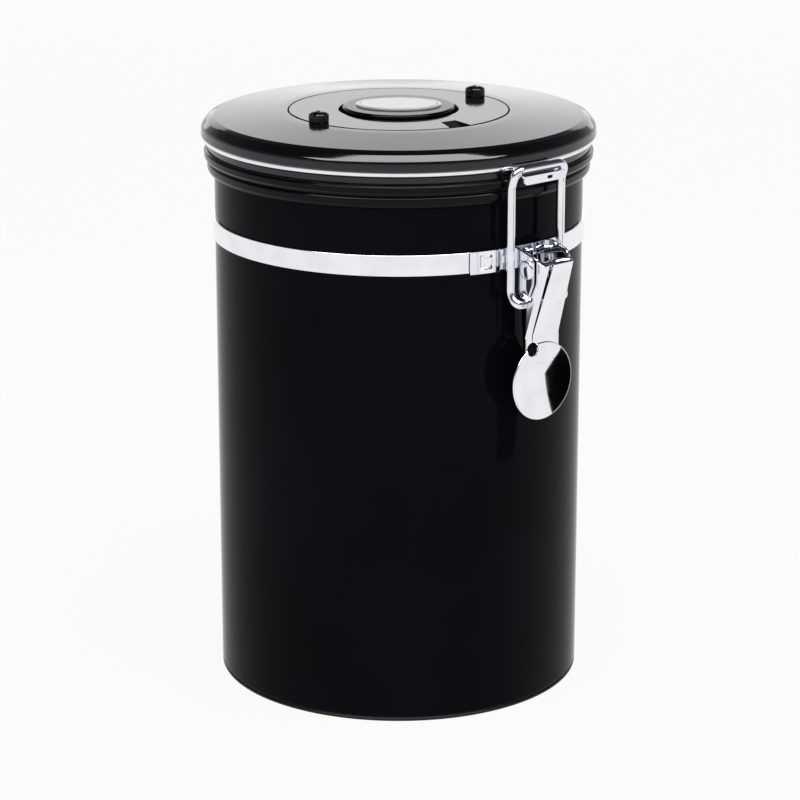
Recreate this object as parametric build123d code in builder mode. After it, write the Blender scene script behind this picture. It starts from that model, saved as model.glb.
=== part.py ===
"""Storage canister with a clamp lid: steel can, strap with latch and rear hinge, and a lid with a gas valve.

Millimetres, +Z up. The origin is on the can's axis, in the plane it stands on. The latch faces -Y.
"""

from build123d import *
from math import cos, radians, sin, sqrt
import os

# ---- driving dimensions -------------------------------------------------------------------
BODY_R = 62.0  # outside radius of the can
BODY_WALL = 0.6
BODY_TOP = 181.0  # the can's raw edge, inside the collar
RIM_TOP = 183.1  # top face of the mouth collar
MOUTH_R = 58.8  # clear radius of the mouth
SHEET = 0.9  # steel sheet of the latch's and the hinge's fittings
RUN = 0.05  # radial running clearance

BAND_R = 62.85  # outside radius of the strap
BAND_LOW, BAND_HIGH = 153.0, 159.9
BAND_MID = (BAND_LOW + BAND_HIGH) / 2
TONGUE_R = BAND_R + 0.4
WEDGE_R = 70.0  # reaches past everything on the strap
CLIP_R = TONGUE_R + 0.6
CLIP_LIP = 0.25
CLIP_FROM, CLIP_TO = -20.0, -9.7  # degrees round from the latch
WINDOW_FROM, WINDOW_TO = -16.9, -12.9

BEAD_R = 65.3  # upper bead of the collar
FLANK_R = 66.3  # widest radius of the lid
FLANK_FOOT = 187.7
SHOULDER_R, SHOULDER_Z = 61.75, 193.7
LID_BOTTOM = 183.4
COVER_R, COVER_TOP = 36.7, 195.2  # disc over the valve
COVER_SEAT = 192.1  # floor under the disc
WELL_R = 20.1  # well in the disc round the valve's cap
CAP_R, CAP_TOP = 18.8, 196.4
RING_WIRE_R = 1.3  # the lid's wire ring
RING_R, RING_Z = 64.6, 186.85

BAIL_WIRE_R = 1.45
BAIL_HALF = 10.9  # half distance between the bail's legs
BAR_Y, BAR_Z = -69.0, 186.5
RIVET_Y, RIVET_Z = -72.0, 154.5  # lever's axis, along X
PIVOT_Y, PIVOT_Z = -70.0, 142.6  # bail's axis on the lever, along X
RIVET_R = 1.6
HEAD_R = 3.1
LEVER_HALF = 7.3  # half width of the lever's channel
EAR_IN = 7.5
EAR_OUT = EAR_IN + SHEET

HINGE_Y, HINGE_Z = 68.2, 158.0  # lid's axis, along X
HINGE_HALF = 7.4  # half length of the hinge's barrel
HINGE_LEG = 10.1  # half distance between the ring's rear legs

STUD_X = 34.6
STUD_R = 1.6
STUD_HEAD_R = 3.35

os.makedirs("parts", exist_ok=True)


def save(piece, name):
    """Label a finished piece and write it under its node's name."""
    piece.part.label = name
    export_step(piece.part, f"parts/{name}.step")


def turned(outline):
    """A piece turned round the can's axis from a closed outline of (radius, height)."""
    with BuildPart() as piece:
        with BuildSketch(Plane.XZ):
            with BuildLine():
                Polyline(*outline, close=True)
            make_face()
        revolve(axis=Axis.Z)
    return piece


def sector(radius, start, end, low, high):
    """A solid wedge from the can's axis between two angles round from the latch."""
    corners = [
        (radius * sin(radians(angle)), -radius * cos(radians(angle)))
        for angle in (start, (start + end) / 2, end)
    ]
    with BuildPart() as wedge:
        with BuildSketch(Plane.XY.offset(low)):
            with BuildLine():
                Line((0, 0), corners[0])
                ThreePointArc(*corners)
                Line(corners[2], (0, 0))
            make_face()
        extrude(amount=high - low)
    return wedge.part


def across(y, z):
    """A plane through an axis along X at y, z, for outlines of (x, radius)."""
    return Plane(origin=(0, y, z), x_dir=(1, 0, 0), z_dir=(0, -1, 0))


# ---- can ----------------------------------------------------------------------------------
FOOT = 0.3  # the wall stops this far above the seam of the base
canister_body = turned(
    [
        (BODY_R - BODY_WALL, FOOT),
        (BODY_R - 0.3, FOOT),
        (BODY_R, 1.0),
        (BODY_R, BODY_TOP),
        (BODY_R - BODY_WALL, BODY_TOP),
    ]
)
save(canister_body, "canister_body")

PAN_R = BODY_R - BODY_WALL
PAN_FLOOR = 4.0
base_pan = turned(
    [
        (0, PAN_FLOOR),
        (52.0, PAN_FLOOR),
        (56.0, 1.2),
        (58.6, 1.2),
        (59.2, 0),
        (PAN_R + 0.3, 0),
        (PAN_R + 0.3, FOOT),
        (PAN_R, FOOT),
        (PAN_R, 6.0),
        (PAN_R - BODY_WALL, 6.0),
        (PAN_R - BODY_WALL, 2.0),
        (56.3, 2.0),
        (52.3, PAN_FLOOR + BODY_WALL),
        (0, PAN_FLOOR + BODY_WALL),
    ]
)
save(base_pan, "base_pan")

rim_collar = turned(
    [
        (BODY_R, 174.9),
        (62.7, 174.9),
        (63.9, 175.7),
        (64.3, 176.6),
        (64.3, 178.4),
        (63.7, 179.2),
        (63.7, 179.7),
        (BEAD_R - 0.5, 179.9),
        (BEAD_R, 180.6),
        (BEAD_R, 182.3),
        (BEAD_R - 0.8, RIM_TOP),
        (MOUTH_R, RIM_TOP),
        (MOUTH_R, 176.4),
        (59.6, 175.4),
        (PAN_R, 175.4),
        (PAN_R, BODY_TOP),
        (BODY_R, BODY_TOP),
    ]
)
save(rim_collar, "rim_collar")

# ---- strap --------------------------------------------------------------------------------
clamp_band = turned([(BODY_R, BAND_LOW), (BAND_R, BAND_LOW), (BAND_R, BAND_HIGH), (BODY_R, BAND_HIGH)])
save(clamp_band, "clamp_band")

WRAP_R = BODY_R + 0.1  # the sleeve's lips reach this close to the can
sleeve = turned(
    [
        (TONGUE_R, BAND_LOW),
        (WRAP_R, BAND_LOW),
        (WRAP_R, BAND_LOW - CLIP_LIP),
        (CLIP_R, BAND_LOW - CLIP_LIP),
        (CLIP_R, BAND_HIGH + CLIP_LIP),
        (WRAP_R, BAND_HIGH + CLIP_LIP),
        (WRAP_R, BAND_HIGH),
        (TONGUE_R, BAND_HIGH),
    ]
)
with BuildPart() as band_clip:
    add(sleeve.part)
    add(sector(WEDGE_R, CLIP_FROM, CLIP_TO, BAND_LOW - 1, BAND_HIGH + 1), mode=Mode.INTERSECT)
    add(sector(WEDGE_R, WINDOW_FROM, WINDOW_TO, BAND_MID - 2.3, BAND_MID + 2.3), mode=Mode.SUBTRACT)
save(band_clip, "band_clip")

strip = turned(
    [
        (BAND_R, BAND_MID - 2.0),
        (TONGUE_R, BAND_MID - 2.0),
        (TONGUE_R, BAND_MID + 2.0),
        (BAND_R, BAND_MID + 2.0),
    ]
)
with BuildPart() as band_tongue:
    add(sector(WEDGE_R, WINDOW_FROM + 0.5, WINDOW_FROM + 1.7, BAND_MID - 2.0, BAND_MID + 2.0))
    add(sector(WEDGE_R, WINDOW_FROM + 0.5, -8.0, BAND_MID - 1.3, BAND_MID + 1.3))
    add(strip.part, mode=Mode.INTERSECT)
save(band_tongue, "band_tongue")

# ---- latch bracket and its rivet ----------------------------------------------------------
PLATE_R = BAND_R + SHEET
PLATE_LOW, PLATE_HIGH = 147.5, 160.3
EAR_REACH = 2.6  # steel in front of the rivet
EAR_FOOT = 144.7
EAR_NOSE_ROUND, EAR_FOOT_ROUND = 3.0, 2.2
SHOE_CUT = (20, 40)  # depth and height of the block that trims a shoe to its width
shoe = turned([(BAND_R, PLATE_LOW), (PLATE_R, PLATE_LOW), (PLATE_R, PLATE_HIGH), (BAND_R, PLATE_HIGH)])
latch_shoe = shoe.part & Pos(0, -PLATE_R, BAND_MID) * Box(2 * EAR_OUT, *SHOE_CUT)
hinge_shoe = shoe.part & Pos(0, PLATE_R, BAND_MID) * Box(2 * HINGE_HALF, *SHOE_CUT)
strapped_can = Pos(0, 0, BAND_MID) * Cylinder(BAND_R, 60)
with BuildPart() as latch_bracket:
    with BuildSketch(Plane.YZ.offset(EAR_IN)):
        with BuildLine():
            Polyline(
                (-62.4, PLATE_HIGH),
                (-66.5, 161.0),
                (RIVET_Y - EAR_REACH, 158.8),
                (RIVET_Y - EAR_REACH, 150.0),
                (-72.4, EAR_FOOT),
                (-67.6, EAR_FOOT),
                (-62.4, PLATE_LOW + 1.0),
                close=True,
            )
        make_face()
    extrude(amount=SHEET)
    fillet(edges().filter_by(Axis.X).filter_by_position(Axis.Y, -80, -73.5), radius=EAR_NOSE_ROUND)
    fillet(edges().filter_by(Axis.X).filter_by_position(Axis.Y, -73, -67), radius=EAR_FOOT_ROUND)
    mirror(about=Plane.YZ)
    add(latch_shoe)
    add(strapped_can, mode=Mode.SUBTRACT)
    with Locations(Plane(origin=(0, RIVET_Y, RIVET_Z), z_dir=(1, 0, 0))):
        Hole(RIVET_R)
save(latch_bracket, "latch_bracket")

with BuildPart() as latch_rivet:
    with BuildSketch(across(RIVET_Y, RIVET_Z)):
        with BuildLine():
            Polyline(
                (0, 0),
                (EAR_OUT + 0.8, 0),
                (EAR_OUT + 0.76, 1.8),
                (EAR_OUT + 0.62, 2.6),
                (EAR_OUT + 0.3, HEAD_R),
                (EAR_OUT, HEAD_R),
                (EAR_OUT, RIVET_R),
                (0, RIVET_R),
                close=True,
            )
        make_face()
    revolve(axis=Axis((0, RIVET_Y, RIVET_Z), (1, 0, 0)))
    mirror(about=Plane.YZ)
save(latch_rivet, "latch_rivet")

# ---- lever --------------------------------------------------------------------------------
FRONT_Y, FRONT_Z = -78.0, 156.3  # top edge of the channel's web
NECK_Y, NECK_Z = -70.9, 131.5
TOE_Z = 122.0
DISC_R, DISC_Z, DISC_Y = 13.0, 116.0, -71.4
DISH = 0.8
CHANNEL_BEND = 0.8
FLARE_FRONT_Y, FLARE = -84.0, 1.2  # how much each side draws in from the neck to the front
RELIEF_X, RELIEF_Z, RELIEF_R = -4.5, 127.2, 2.3
WEB_SLOPE = (FRONT_Y - NECK_Y) / (FRONT_Z - NECK_Z)
CHANNEL_ROOT = 128.6  # floor of the channel, above the disc
CUT_TOP, CUT_BACK_Y = 168.0, -60.0  # how far the channel's cutter reaches


def channel_plan(inset):
    """A tall prism of the channel's outline seen from above, moved inwards by an inset."""
    wide, narrow = LEVER_HALF - inset, LEVER_HALF - FLARE - inset
    with BuildPart() as prism:
        with BuildSketch(Plane.XY.offset(TOE_Z - 2)):
            with BuildLine():
                Polyline(
                    (wide, CUT_BACK_Y),
                    (wide, NECK_Y),
                    (narrow, FLARE_FRONT_Y),
                    (-narrow, FLARE_FRONT_Y),
                    (-wide, NECK_Y),
                    (-wide, CUT_BACK_Y),
                    close=True,
                )
            make_face()
        extrude(amount=CUT_TOP - TOE_Z + 4)
    return prism.part


def web_inside(z):
    """Y of the web's inner face at a height on its sloping run."""
    return NECK_Y + SHEET * sqrt(1 + WEB_SLOPE**2) + WEB_SLOPE * (z - NECK_Z)


with BuildPart() as channel_hollow:
    with BuildSketch(Plane.YZ):
        with BuildLine():
            Polyline(
                (web_inside(CUT_TOP), CUT_TOP),
                (web_inside(NECK_Z), NECK_Z),
                (web_inside(NECK_Z), CHANNEL_ROOT),
                (CUT_BACK_Y, CHANNEL_ROOT),
                (CUT_BACK_Y, CUT_TOP),
                close=True,
            )
        make_face()
    extrude(amount=LEVER_HALF, both=True)
    add(channel_plan(SHEET), mode=Mode.INTERSECT)

with BuildPart() as latch_lever:
    with BuildSketch(Plane.YZ):
        with BuildLine():
            Polyline(
                (-68.4, 161.0),
                (FRONT_Y, FRONT_Z),
                (NECK_Y, NECK_Z),
                (NECK_Y, TOE_Z),
                (NECK_Y + SHEET, TOE_Z),
                (NECK_Y + SHEET, 127.0),
                (-67.4, 129.0),
                (-65.6, 132.5),
                (-65.3, 140.0),
                (-66.2, 149.0),
                close=True,
            )
        make_face()
    extrude(amount=LEVER_HALF, both=True)
    add(channel_plan(0), mode=Mode.INTERSECT)
    long_corners = edges().filter_by_position(Axis.Z, 142, 146).filter_by_position(Axis.Y, -76, -73)
    fillet(long_corners, radius=CHANNEL_BEND)
    add(channel_hollow.part, mode=Mode.SUBTRACT)
    # thumb disc, dished on the side that faces away from the can
    with BuildSketch(Plane(origin=(0, 0, DISC_Z), x_dir=(1, 0, 0), z_dir=(0, 0, 1))):
        with BuildLine():
            ThreePointArc((0, DISC_Y + DISH), (DISC_R * 0.55, DISC_Y + DISH * 0.72), (DISC_R, DISC_Y))
            Line((DISC_R, DISC_Y), (DISC_R, DISC_Y + SHEET))
            ThreePointArc(
                (DISC_R, DISC_Y + SHEET),
                (DISC_R * 0.55, DISC_Y + DISH * 0.72 + SHEET),
                (0, DISC_Y + DISH + SHEET),
            )
            Line((0, DISC_Y + DISH + SHEET), (0, DISC_Y + DISH))
        make_face()
    revolve(axis=Axis((0, 0, DISC_Z), (0, 1, 0)))
    # relief hole at the root of the disc, and the tapered slit that runs up from it
    with BuildSketch(Plane.XZ.offset(60)):
        with Locations((RELIEF_X, RELIEF_Z)):
            Circle(RELIEF_R)
        with BuildLine():
            Polyline(
                (RELIEF_X, RELIEF_Z + 1.4),
                (-4.2, 134.0),
                (-2.1, 157.5),
                (-3.9, 157.5),
                (-4.8, 134.0),
                close=True,
            )
        make_face()
    extrude(amount=24, mode=Mode.SUBTRACT)
    with Locations(Plane(origin=(0, RIVET_Y, RIVET_Z), z_dir=(1, 0, 0))):
        Hole(RIVET_R + RUN)
    with Locations(Plane(origin=(0, PIVOT_Y, PIVOT_Z), z_dir=(1, 0, 0))):
        Hole(BAIL_WIRE_R + RUN)
save(latch_lever, "latch_lever")

# ---- bail ---------------------------------------------------------------------------------
LEG_Y = -67.0
LEG_LOW, LEG_HIGH = 145.6, 181.0  # where the straight leg leans to the pivot and to the bar
half_bail = [
    (5.8, PIVOT_Y, PIVOT_Z),
    (BAIL_HALF, PIVOT_Y, PIVOT_Z),
    (BAIL_HALF, LEG_Y, LEG_LOW),
    (BAIL_HALF, LEG_Y, LEG_HIGH),
    (BAIL_HALF, BAR_Y, BAR_Z),
]
other_half = [(-x, y, z) for x, y, z in reversed(half_bail)]
bends = [2.0, 4.5, 6.0, 3.2]
with BuildPart() as bail_wire:
    with BuildLine() as bail_path:
        FilletPolyline(*half_bail, *other_half, radius=bends + bends[::-1])
    with BuildSketch(Plane(origin=half_bail[0], z_dir=(1, 0, 0))):
        Circle(BAIL_WIRE_R)
    sweep(path=bail_path.wire())
save(bail_wire, "bail_wire")

# ---- rear hinge ---------------------------------------------------------------------------
BARREL_R = 2.9
with BuildPart() as hinge_bracket:
    with BuildSketch(Plane.YZ):
        with Locations((HINGE_Y, HINGE_Z)):
            Circle(BARREL_R)
        with Locations((HINGE_Y - 3.4, HINGE_Z - BARREL_R + SHEET / 2)):
            Rectangle(6.8, SHEET)
    extrude(amount=HINGE_HALF, both=True)
    add(hinge_shoe)
    add(strapped_can, mode=Mode.SUBTRACT)
    with Locations(Plane(origin=(0, HINGE_Y, HINGE_Z), z_dir=(1, 0, 0))):
        Hole(RING_WIRE_R + RUN)
save(hinge_bracket, "hinge_bracket")

# ---- lid's wire ring and catch ------------------------------------------------------------
END_X = 12.2  # where the ring's arc ends and its leg begins
END_Y = sqrt(RING_R**2 - END_X**2)
JOG = (END_X - HINGE_LEG) * END_X / END_Y
leg = [
    (END_X, END_Y, RING_Z),
    (HINGE_LEG, END_Y + JOG, RING_Z),
    (HINGE_LEG, HINGE_Y, RING_Z - 4.4),
    (HINGE_LEG, HINGE_Y, HINGE_Z),
    (3.0, HINGE_Y, HINGE_Z),
]
leg_bends = [1.7, 2.6, 2.4]
with BuildPart() as lid_wire_ring:
    with BuildLine() as ring_path:
        FilletPolyline(*reversed(leg), radius=leg_bends[::-1])
        ThreePointArc(leg[0], (0, -RING_R, RING_Z), (-END_X, END_Y, RING_Z))
        FilletPolyline(*[(-x, y, z) for x, y, z in leg], radius=leg_bends)
    with BuildSketch(Plane(origin=leg[-1], z_dir=(1, 0, 0))):
        Circle(RING_WIRE_R)
    sweep(path=ring_path.wire())
save(lid_wire_ring, "lid_wire_ring")

CATCH_HALF = 8.8
CATCH_FRONT = 71.3
SHELF_TOP = 184.75
LIP_LOW = 181.9
CURL_R = RING_WIRE_R + SHEET
catch_limits = Pos(0, -68, 184) * Box(2 * CATCH_HALF, 2 * (CATCH_FRONT - 68), 12)
with BuildPart() as catch_plate:
    with BuildSketch(Plane.XZ):
        with BuildLine():
            Polyline(
                (RING_R - 0.2, RING_Z - CURL_R),
                (RING_R + 3.5, SHELF_TOP - SHEET),
                (80, SHELF_TOP - SHEET),
                (80, SHELF_TOP),
                (RING_R + 3.0, SHELF_TOP),
                (RING_R + 1.5, RING_Z - 0.4),
                (RING_R + 1.5, RING_Z),
                (RING_R - 0.2, RING_Z),
                close=True,
            )
        make_face()
        with Locations((RING_R, RING_Z)):
            Circle(RING_WIRE_R, mode=Mode.SUBTRACT)
        with Locations((RING_R, RING_Z + 3)):
            Rectangle(2.6, 6.0, mode=Mode.SUBTRACT)
    revolve(axis=Axis.Z)
    add(catch_limits, mode=Mode.INTERSECT)
    with BuildSketch(Plane.XZ.offset(CATCH_FRONT - SHEET)):
        with Locations((0, (LIP_LOW + SHELF_TOP) / 2)):
            RectangleRounded(2 * CATCH_HALF, SHELF_TOP - LIP_LOW, 0.9)
        with Locations((2.0, 183.4)):
            SlotOverall(2.2, 1.0, mode=Mode.SUBTRACT)
    extrude(amount=SHEET)
save(catch_plate, "catch_plate")

# ---- lid ----------------------------------------------------------------------------------
GASKET_IN, GASKET_OUT = 59.0, 63.6
GASKET_TOP = 185.0
FLOOR_LOW = COVER_SEAT - 1.8
NECK_HOLE_R = 17.1
BOSS_PITCH_R = 50.0
BOSS_R = 3.6
SCREWS, FIRST_SCREW = 4, 45.0  # how many, and the angle of the first
PILOT_R, PILOT_DEPTH = 1.2, 5.5
PAN_TOP = 185.2
PAN_OUT = 58.4

with BuildPart() as lid_shell:
    with BuildSketch(Plane.XZ):
        with BuildLine():
            Polyline(
                (NECK_HOLE_R, FLOOR_LOW),
                (NECK_HOLE_R, COVER_SEAT),
                (COVER_R + 1.3, COVER_SEAT),
                (COVER_R + 1.3, COVER_TOP - 0.1),
                (SHOULDER_R, SHOULDER_Z),
            )
            ThreePointArc((SHOULDER_R, SHOULDER_Z), (65.2, 191.9), (FLANK_R, 188.9))
            Polyline(
                (FLANK_R, 188.9),
                (FLANK_R - 0.1, FLANK_FOOT),
                (FLANK_R - 0.4, FLANK_FOOT),
                (FLANK_R - 0.9, 188.5),
                (63.2, 188.5),
                (63.2, 185.5),
                (64.2, 185.3),
                (64.2, LID_BOTTOM),
                (GASKET_OUT, LID_BOTTOM),
                (GASKET_OUT, GASKET_TOP),
                (PAN_OUT, GASKET_TOP),
                (PAN_OUT, 191.4),
                (COVER_R + 3.2, 192.6),
                (COVER_R + 3.2, FLOOR_LOW),
                (NECK_HOLE_R, FLOOR_LOW),
            )
        make_face()
    revolve(axis=Axis.Z)
    with BuildSketch(Plane.XY.offset(PAN_TOP)):
        with PolarLocations(BOSS_PITCH_R, SCREWS, start_angle=FIRST_SCREW):
            Circle(BOSS_R)
    extrude(amount=192.2 - PAN_TOP)
    with Locations(Plane(origin=(0, 0, PAN_TOP), z_dir=(0, 0, -1))):
        with PolarLocations(BOSS_PITCH_R, SCREWS, start_angle=FIRST_SCREW):
            Hole(PILOT_R, depth=PILOT_DEPTH)
    with Locations((STUD_X, 0, COVER_SEAT), (-STUD_X, 0, COVER_SEAT)):
        Hole(STUD_R + RUN)
save(lid_shell, "lid_shell")

lid_gasket = turned(
    [
        (GASKET_IN, RIM_TOP + 0.02),
        (GASKET_OUT - 0.1, RIM_TOP + 0.02),
        (GASKET_OUT - 0.1, GASKET_TOP),
        (GASKET_IN, GASKET_TOP),
    ]
)
save(lid_gasket, "lid_gasket")

PAN_LOW = PAN_TOP - 1.8
PAN_BOSS_R = 44.0
PAN_BOSS_LOW = 180.0
CAGE_R = 18.6
with BuildPart() as lid_inner_pan:
    with BuildSketch(Plane.XZ):
        with BuildLine():
            Polyline(
                (CAGE_R, PAN_TOP),
                (PAN_OUT, PAN_TOP),
                (PAN_OUT, PAN_LOW),
                (PAN_BOSS_R + 1.8, PAN_LOW),
                (PAN_BOSS_R, PAN_BOSS_LOW),
                (PAN_BOSS_R - 1.6, PAN_BOSS_LOW),
                (PAN_BOSS_R - 1.6, PAN_LOW),
                (CAGE_R, PAN_LOW),
                close=True,
            )
        make_face()
    revolve(axis=Axis.Z)
    with Locations(Plane(origin=(0, 0, PAN_LOW), z_dir=(0, 0, -1))):
        with PolarLocations(BOSS_PITCH_R, SCREWS, start_angle=FIRST_SCREW):
            CounterSinkHole(1.5, 2.6, counter_sink_angle=90)
save(lid_inner_pan, "lid_inner_pan")

with BuildPart() as screw_form:
    with BuildSketch(Plane.XZ):
        with BuildLine():
            Polyline(
                (0, PAN_LOW + 0.05),
                (2.4, PAN_LOW + 0.05),
                (2.4, PAN_LOW + 0.15),
                (1.15, PAN_LOW + 1.4),
                (1.15, PAN_LOW + 6.6),
                (0, PAN_LOW + 6.6),
                close=True,
            )
        make_face()
    revolve(axis=Axis.Z)
    with Locations((0, 0, PAN_LOW + 0.05)):
        Box(3.2, 0.6, 1.4, mode=Mode.SUBTRACT)
        Box(0.6, 3.2, 1.4, mode=Mode.SUBTRACT)
with BuildPart() as lid_screws:
    with PolarLocations(BOSS_PITCH_R, SCREWS, start_angle=FIRST_SCREW):
        add(screw_form.part)
save(lid_screws, "lid_screws")

# ---- valve --------------------------------------------------------------------------------
# pry notch: a scoop that deepens towards the disc's edge
with BuildPart() as scoop:
    with BuildSketch(Plane.XY.offset(COVER_TOP - 3)):
        with BuildLine():
            Polyline((-5.0, -27.0), (-10.2, -38.5), (-1.1, -38.7), (0.6, -27.5), close=True)
        make_face()
    extrude(amount=4)
    with BuildSketch(Plane.YZ.offset(-20)):
        with BuildLine():
            Polyline(
                (-26, COVER_TOP),
                (-40, COVER_TOP - 2.6),
                (-40, COVER_TOP + 2),
                (-26, COVER_TOP + 2),
                close=True,
            )
        make_face()
    extrude(amount=40, mode=Mode.INTERSECT)

with BuildPart() as valve_cover:
    with BuildSketch(Plane.XY.offset(COVER_SEAT)):
        Circle(COVER_R)
        Circle(WELL_R, mode=Mode.SUBTRACT)
        with Locations((STUD_X, 0), (-STUD_X, 0)):
            Circle(STUD_R + RUN, mode=Mode.SUBTRACT)
    extrude(amount=COVER_TOP - COVER_SEAT)
    fillet(edges().group_by(Axis.Z)[-1].sort_by(SortBy.LENGTH)[-1], radius=0.3)
    add(scoop.part, mode=Mode.SUBTRACT)
save(valve_cover, "valve_cover")

with BuildPart() as valve_cap:
    with BuildSketch(Plane.XZ):
        with BuildLine():
            Polyline(
                (0, CAP_TOP - 1.4),
                (17.3, CAP_TOP - 1.4),
                (17.3, COVER_SEAT),
                (CAP_R, COVER_SEAT),
                (CAP_R, CAP_TOP - 0.5),
                (CAP_R - 0.5, CAP_TOP),
                (0, CAP_TOP),
                close=True,
            )
        make_face()
    revolve(axis=Axis.Z)
    with BuildSketch(Plane.XY.offset(COVER_SEAT)):
        with PolarLocations(CAP_R - 0.7, 6, start_angle=30):
            Rectangle(3.0, 2.4)
    extrude(amount=0.9, mode=Mode.SUBTRACT)
save(valve_cap, "valve_cap")

BADGE_TURN = -41.0  # the badge's long axis, turned from the latch's side
BADGE_LONG, BADGE_SHORT = 14.3, 10.4
BADGE_THICK, BADGE_ROUND = 0.6, 0.3
with BuildPart() as cap_badge:
    with BuildSketch(Plane.XY.offset(CAP_TOP).rotated((0, 0, BADGE_TURN))):
        Ellipse(BADGE_LONG, BADGE_SHORT)
    extrude(amount=BADGE_THICK)
    fillet(edges().group_by(Axis.Z)[-1], radius=BADGE_ROUND)
save(cap_badge, "cap_badge")

SEAT_TOP = 191.6
STEM_R = 1.0  # the membrane's stem, through the seat's centre
VENT_R, VENT_PITCH_R, VENTS = 1.1, 5.0, 6
with BuildPart() as valve_seat:
    with BuildSketch(Plane.XZ):
        with BuildLine():
            Polyline(
                (0, 190.4),
                (15.6, 190.4),
                (15.6, 187.2),
                (17.0, 187.2),
                (17.0, 188.4),
                (22.0, 188.4),
                (22.0, FLOOR_LOW),
                (21.2, FLOOR_LOW),
                (21.2, 189.3),
                (18.8, 189.3),
                (18.8, FLOOR_LOW),
                (17.0, FLOOR_LOW),
                (17.0, 194.6),
                (15.6, 194.6),
                (15.6, SEAT_TOP),
                (0, SEAT_TOP),
                close=True,
            )
        make_face()
    revolve(axis=Axis.Z)
    with Locations((0, 0, SEAT_TOP)):
        Hole(STEM_R + RUN)
        with PolarLocations(VENT_PITCH_R, VENTS):
            Hole(VENT_R)
save(valve_seat, "valve_seat")

with BuildPart() as seat_o_ring:
    with BuildSketch(Plane.XZ):
        with Locations((20.0, FLOOR_LOW - 0.5)):
            Circle(0.48)
    revolve(axis=Axis.Z)
save(seat_o_ring, "seat_o_ring")

with BuildPart() as valve_membrane:
    with BuildSketch(Plane.XZ):
        with BuildLine():
            Polyline(
                (0, 193.4),
                (3.0, 193.2),
                (8.5, 192.0),
                (8.5, SEAT_TOP),
                (STEM_R, SEAT_TOP),
                (STEM_R, 189.6),
                (1.8, 189.5),
                (1.6, 188.6),
                (0.6, 187.9),
                (0, 187.9),
                close=True,
            )
        make_face()
    revolve(axis=Axis.Z)
save(valve_membrane, "valve_membrane")

FILTER_TOP = 187.2
FILTER_LOW = 185.9
filter_disc = turned([(0, FILTER_LOW), (16.4, FILTER_LOW), (16.4, FILTER_TOP), (0, FILTER_TOP)])
save(filter_disc, "filter_disc")

with BuildPart() as filter_retainer:
    with BuildSketch(Plane.XZ):
        with BuildLine():
            Polyline(
                (0, FILTER_LOW),
                (16.5, FILTER_LOW),
                (16.5, 187.1),
                (17.1, 187.1),
                (17.1, 188.3),
                (18.4, 188.3),
                (18.4, FILTER_LOW - 1.2),
                (0, FILTER_LOW - 1.2),
                close=True,
            )
        make_face()
    revolve(axis=Axis.Z)
    with BuildSketch(Plane.XY.offset(FILTER_LOW - 2)):
        for ring_r, count in ((4.0, 6), (8.2, 12), (12.6, 18)):
            with PolarLocations(ring_r, count):
                Circle(1.1)
    extrude(amount=3, mode=Mode.SUBTRACT)
save(filter_retainer, "filter_retainer")

# ---- slotted quarter-turn studs -----------------------------------------------------------
SLOT_TURN = 24.0  # where each slot points when locked
for name, side in (("turn_stud_left", -1), ("turn_stud_right", 1)):
    with BuildPart() as stud:
        with BuildSketch(Plane.XZ):
            with BuildLine():
                Line((0, FLOOR_LOW - 2.2), (STUD_R, FLOOR_LOW - 2.2))
                Line((STUD_R, FLOOR_LOW - 2.2), (STUD_R, COVER_TOP))
                Line((STUD_R, COVER_TOP), (STUD_HEAD_R, COVER_TOP))
                Line((STUD_HEAD_R, COVER_TOP), (STUD_HEAD_R, COVER_TOP + 2.2))
                ThreePointArc(
                    (STUD_HEAD_R, COVER_TOP + 2.2),
                    (STUD_HEAD_R * 0.72, COVER_TOP + 2.95),
                    (0, COVER_TOP + 3.4),
                )
                Line((0, COVER_TOP + 3.4), (0, FLOOR_LOW - 2.2))
            make_face()
        revolve(axis=Axis.Z)
        with BuildSketch(Plane.XY.offset(COVER_TOP + 2.0).rotated((0, 0, SLOT_TURN))):
            Rectangle(2 * STUD_HEAD_R + 1, 1.0)
        extrude(amount=2, mode=Mode.SUBTRACT)
        with BuildSketch(Plane.XY.offset(FLOOR_LOW - 1.6)):
            SlotOverall(6.6, 2.4, rotation=90)
        extrude(amount=1.5)
    placed = BuildPart()
    with placed:
        with Locations((side * STUD_X, 0, 0)):
            add(stud.part)
    save(placed, name)
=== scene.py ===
"""Storage canister with a clamp lid: the finished look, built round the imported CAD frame.

Lengths in this file are millimetres, and every mesh is scaled to metres as it is published. The frame has
+Z up, the can's axis through the origin and the latch on the -Y side.
"""

import logging
import math
from dataclasses import dataclass, field
from enum import Enum
from typing import Sequence

import bmesh
import bpy
from mathutils import Matrix, Vector


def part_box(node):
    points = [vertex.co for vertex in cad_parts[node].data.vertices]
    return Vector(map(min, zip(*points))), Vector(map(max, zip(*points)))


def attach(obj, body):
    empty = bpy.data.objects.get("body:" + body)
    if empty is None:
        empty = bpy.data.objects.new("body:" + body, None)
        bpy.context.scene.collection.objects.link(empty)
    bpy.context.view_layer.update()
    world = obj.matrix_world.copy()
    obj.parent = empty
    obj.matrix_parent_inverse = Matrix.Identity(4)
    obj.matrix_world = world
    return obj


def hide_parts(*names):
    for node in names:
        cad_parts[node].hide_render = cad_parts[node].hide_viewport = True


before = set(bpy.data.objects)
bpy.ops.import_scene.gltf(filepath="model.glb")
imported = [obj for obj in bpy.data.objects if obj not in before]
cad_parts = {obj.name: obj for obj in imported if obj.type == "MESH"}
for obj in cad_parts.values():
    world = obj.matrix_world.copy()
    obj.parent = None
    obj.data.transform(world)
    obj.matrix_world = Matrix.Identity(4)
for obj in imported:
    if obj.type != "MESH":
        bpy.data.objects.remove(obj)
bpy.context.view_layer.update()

log = logging.getLogger("canister")

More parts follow.
